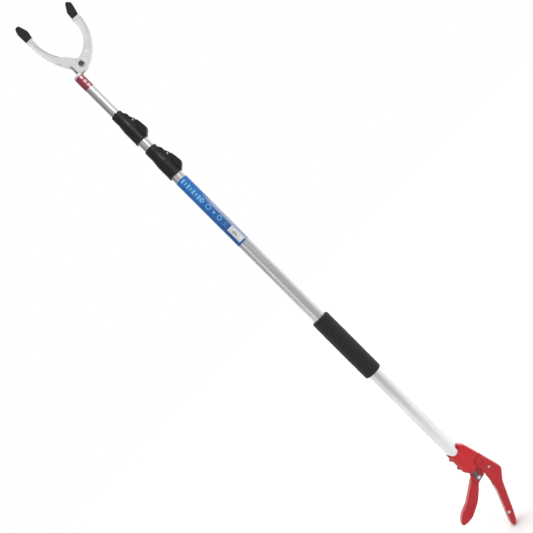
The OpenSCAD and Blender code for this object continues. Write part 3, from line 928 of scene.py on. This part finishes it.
def pocket(arcs, rim, start, end):
    """The sunk web of a blade: between its edge arcs, a rim's width inside both,
    from start to end degrees along the outer one, its ends square to it."""
    outer_at, inner_at = (Vector((JAW_AT.x, JAW_AT.z)) + Vector(c) for c in (arcs[0], arcs[2]))
    outer_r, inner_r = arcs[1] - rim, arcs[3] + rim
    outer = arc(outer_at, outer_r, start, end, 24)
    turns = []
    for point in (outer[-1], outer[0]):
        inward = (outer_at - point).normalized()
        away = point - inner_at
        reach = away.dot(inward)
        met = away - inward * (reach + math.sqrt(reach ** 2 - away.length_squared + inner_r ** 2))
        turn = math.degrees(math.atan2(met.y, met.x))
        turns.append(start + (turn - start + 180) % 360 - 180)
    return rounded(outer + arc(inner_at, inner_r, *turns, 24), 1.5, 3)


def jaws():
    """Both blades as castings with a raised rim round a sunk web."""
    half_t = corners("moving_jaw")[1].y
    sunk, rim = 1.3, 2.6
    webs = {"fixed": pocket(FIXED_ARCS, rim, 200.5, 180.5),
            "moving": pocket(MOVING_ARCS, rim, -51, -5)}
    for word, body in (("fixed", "inner_pole"), ("moving", "moving_jaw")):
        cuts = [plate(webs[word], *sorted((s * (half_t - sunk), s * (half_t + 3))))
                for s in Y_SIDES]
        moulded(f"{word}_jaw_casting", f"{word}_jaw", body, ALLOY,
                cut=[joined(*cuts)], passes=4)


def jaw_caps():
    """Rubber caps on both tips, with shallow grooves in the faces that grip."""
    for word, body, face in (("fixed", "inner_pole", 1), ("moving", "moving_jaw", -1)):
        node = f"{word}_jaw_cap"
        low, high = corners(node)
        obj = object_of(cad_shape(node), f"{word}_jaw_rubber_cap")
        step = obj.modifiers.new("round", "BEVEL")
        step.width, step.segments, step.angle_limit = 2, 4, math.radians(60)
        step.limit_method = "ANGLE"
        apply_modifiers(obj)
        # What the grooves leave: the cap pushed back from the face by their depth
        depth, width, pitch = 0.7, 1.2, 4
        pushed = cad_shape(node)
        bmesh.ops.translate(pushed, vec=(-face * depth, 0, 0), verts=pushed.verts)
        heights = [low.z + 8 + pitch * k for k in range(5)]
        grooves = object_of(joined(*[block((low.x - 5, low.y - 1, z),
                                           (high.x + 5, high.y + 1, z + width))
                                     for z in heights]), "grooves")
        combine(grooves, pushed, "DIFFERENCE")
        beyond = (low.x + high.x) / 2
        side = sorted((beyond, beyond + face * 40))
        half = block((side[0], low.y - 1, low.z), (side[1], high.y + 1, high.z))
        combine(grooves, half, "INTERSECT")
        combine(obj, shape_of(grooves), "DIFFERENCE")
        soften(obj, 0.45, 3)
        finish(obj, body, RUBBER, (node,), sharp=180)


def hexagon(radius, turn=0):
    """A hexagon's corners round the jaw bolt, the first at turn degrees."""
    turns = [math.radians(60 * k + turn) for k in range(6)]
    points = [Vector((radius * math.cos(a), radius * math.sin(a))) for a in turns]
    return [(p.x + JAW_AT.x, p.y + JAW_AT.z) for p in points]


def head_bolt():
    """The bolt that the moving jaw turns on, with its washer and lock nut."""
    low, high = corners("jaw_bolt")
    head_r = (high.x - low.x) / 2
    under = -corners("jaw_washer")[0].y
    rise = -low.y - under
    shank_r, shank = 2.9, 23
    button = [(0, -shank), (shank_r, -shank), (shank_r, 0), (head_r, 0), (head_r, rise * 0.35),
              (head_r * 0.88, rise * 0.72), (head_r * 0.62, rise * 0.95), (head_r * 0.5, rise),
              (0, rise)]
    socket = plate(hexagon(2.6, 15), low.y - 1, low.y + 2.2)
    machined("jaw_pivot_bolt", moved(spin(button, 56), seat(JAW_AT, -1, under)), "inner_pole",
             DARK_STEEL, ("jaw_bolt",), bevel=0.2, cut=(socket,))
    machined("jaw_pivot_washer", cad_shape("jaw_washer"), "inner_pole", ZINC,
             ("jaw_washer",))

    low, high = corners("jaw_nut")
    obj = object_of(plate(hexagon(5.77), low.y, high.y), "jaw_lock_nut")
    size = high.y - low.y
    at = seat(JAW_AT, 1, low.y)
    chamfer = spin([(0, 0), (5.3, 0), (5.9, 0.5), (5.9, size - 1.6), (4.7, size - 0.9),
                    (4.5, size), (0, size)], 60)
    combine(obj, moved(chamfer, at), "INTERSECT")
    combine(obj, moved(rod(3.05, -1, size + 1, 40), at), "DIFFERENCE")
    finish(obj, "inner_pole", ZINC, ("jaw_nut",))


def fork():
    """The pull rod's fork and its pin, which turn the moving jaw."""
    machined("jaw_pull_fork", cad_shape("jaw_fork"), "upper_pull", DARK_STEEL,
             ("jaw_fork",), bevel=0.3)
    machined("jaw_fork_pin", cad_shape("fork_pin"), "upper_pull", ZINC,
             ("fork_pin",))


# ---- Stage -----------------------------------------------------------------


def stage():
    """A plain floor under the handle, white behind it and greyer in front, so that
    the pole's lower half mirrors the same bands as its upper half."""
    bm = bmesh.new()
    bmesh.ops.create_grid(bm, x_segments=8, y_segments=8, size=15)
    floor = object_of(moved(bm, Matrix.Translation((0, 0, cad_low.z - 0.002))), "floor")
    s = Surface("pale_floor", roughness=0.75)
    parts = s.node("ShaderNodeSeparateXYZ")
    s.feed(parts.inputs[0], s.place)
    white = s.mix(s.noise(400, detail=2), (0.88, 0.88, 0.88), (0.9, 0.9, 0.9))
    s.colour(s.mix(s.spread(parts.outputs[1], -0.5, -1.8), white, (0.3, 0.3, 0.3)))
    floor.data.materials.append(s.material)


def area_light(name, location, towards, size, power):
    lamp = bpy.data.lights.new(name, "AREA")
    lamp.shape, lamp.size, lamp.energy = "DISK", size, power
    obj = bpy.data.objects.new(name, lamp)
    obj.location = location
    obj.rotation_euler = (Vector(towards) - Vector(location)).to_track_quat("-Z", "Y").to_euler()
    bpy.context.scene.collection.objects.link(obj)


def light():
    """White surroundings behind the object, greyer in front, darkest on the -X side
    and brightest overhead, so that the tubes show a dark and a bright band and the
    floor stays pale, with two soft lamps."""
    world = bpy.data.worlds.new("studio")
    bpy.context.scene.world = world
    world.use_nodes = True
    tree = world.node_tree
    background = tree.nodes["Background"]
    background.inputs["Color"].default_value = (1, 1, 1, 1)
    parts = tree.nodes.new("ShaderNodeSeparateXYZ")
    tree.links.new(tree.nodes.new("ShaderNodeTexCoord").outputs["Generated"], parts.inputs[0])

    def level(socket, values):
        made = tree.nodes.new("ShaderNodeMapRange")
        made.interpolation_type = "SMOOTHSTEP"
        tree.links.new(socket, made.inputs[0])
        for slot, value in zip(list(made.inputs)[1:5], values):
            slot.default_value = value
        return made.outputs[0]

    # From where, to where, and the level at each end
    strength = level(parts.outputs[1], (-0.5, 0.6, 0.42, 1.0))
    for socket, values in ((parts.outputs[0], (-0.95, -0.45, 0.3, 1.0)),
                           (parts.outputs[2], (0.5, 0.85, 1.0, 2.3))):
        product = tree.nodes.new("ShaderNodeMath")
        product.operation = "MULTIPLY"
        tree.links.new(strength, product.inputs[0])
        tree.links.new(level(socket, values), product.inputs[1])
        strength = product.outputs[0]
    tree.links.new(strength, background.inputs["Strength"])

    area_light("key", (1.4, -2.0, 1.9), (0, 0, 0.2), 1.1, 24)
    area_light("fill", (-1.9, -1.7, 0.3), (0, 0, 0.2), 1.5, 4)


def camera():
    """Looks along +Y at the middle of the tool, rolled so that the pole lies on
    the picture's diagonal with the head up and to the left."""
    middle = (cad_low.z + cad_high.z) / 2
    data = bpy.data.cameras.new("camera")
    data.sensor_width, data.lens = 36, 49.9
    obj = bpy.data.objects.new("camera", data)
    roll = math.sqrt(0.5)
    right, up, back = Vector((roll, 0, -roll)), Vector((roll, 0, roll)), Vector((0, -1, 0))
    turn = Matrix((right, up, back)).transposed().to_4x4()
    obj.matrix_world = Matrix.Translation((-0.0022, -1.6, middle + 0.0119)) @ turn
    bpy.context.scene.collection.objects.link(obj)
    bpy.context.scene.camera = obj


# ---- Assembly --------------------------------------------------------------


def dress(surface, *nodes):
    """Gives CAD pieces whose shape is already right their finish."""
    for node in nodes:
        for holder in frame["nodes"][node].material_slots:
            holder.material = surface


camera()
light()
stage()

dress(ALUMINIUM, "outer_tube", "middle_tube", "inner_tube", "lower_pull_tube", "middle_pull_tube",
      "head_rivets")
dress(BLACK_PLASTIC, "rod_bush", "lower_clutch", "middle_clutch", "middle_foot", "inner_foot")
dress(GREY_PLASTIC, "lower_clamp_shoe", "upper_clamp_shoe")
dress(DARK_STEEL, "rod_end", "upper_pull_rod")
dress(ZINC, "trigger_pin")

foam_sleeve()
film("pole_print_film", "pole_label", "grip", pole_print())
film("head_print_film", "head_label", "inner_pole", head_print())
clamp("lower", MIDDLE_R, "grip", "lower_lever")
clamp("upper", INNER_R, "middle_pole", "upper_lever")
handle_shells()
collar()
screws()
trigger()
spring()
linkage()
jaws()
jaw_caps()
head_bolt()
fork()

bpy.context.scene.view_settings.view_transform = "Standard"
